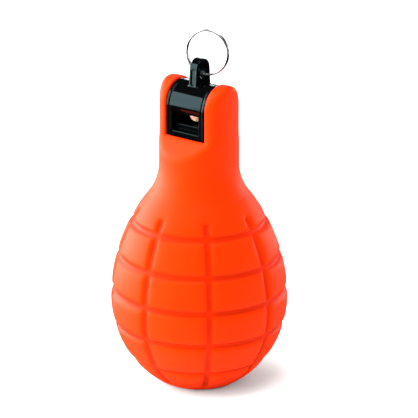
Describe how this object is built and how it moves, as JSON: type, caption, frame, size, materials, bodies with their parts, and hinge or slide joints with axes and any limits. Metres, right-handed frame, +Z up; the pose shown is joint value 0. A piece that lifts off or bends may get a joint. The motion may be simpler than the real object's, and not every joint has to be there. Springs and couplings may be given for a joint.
{
  "type": "hand-squeeze whistle",
  "caption": "Hand-squeeze whistle: a soft ribbed rubber bulb with a forked neck that holds a black pea whistle, with a lug and a steel split ring for a lanyard.",
  "frame": {"origin": "centre of the flat foot of the bulb", "axes": "+Z up along the axis of the bulb, the mouth of the whistle faces -Y, the two ears of the neck stand at -X and +X"},
  "size_m": [0.065, 0.065, 0.1333],
  "materials": {
    "orange_rubber": "satin moulded soft rubber",
    "black_plastic": "glossy moulded",
    "cork": "natural cork",
    "polished_steel": "polished wire"
  },
  "bodies": {
    "whistle": {"bulb_shell": "orange_rubber", "whistle_body": "black_plastic", "windway_cover": "black_plastic", "left_end_cap": "black_plastic", "right_end_cap": "black_plastic"},
    "pea": {"pea": "cork"},
    "split_ring": {"split_ring": "polished_steel"}
  },
  "joints": [
    {"name": "ring_swing", "type": "hinge", "parent": "whistle", "child": "split_ring", "pos_m": [0, 0.0004, 0.1173], "axis": [1, 0, 0], "range_deg": [-90, 115]},
    {"name": "pea_roll", "type": "hinge", "parent": "whistle", "child": "pea", "pos_m": [0, 0, 0.1056], "axis": [1, 0, 0], "continuous": true}
  ]
}
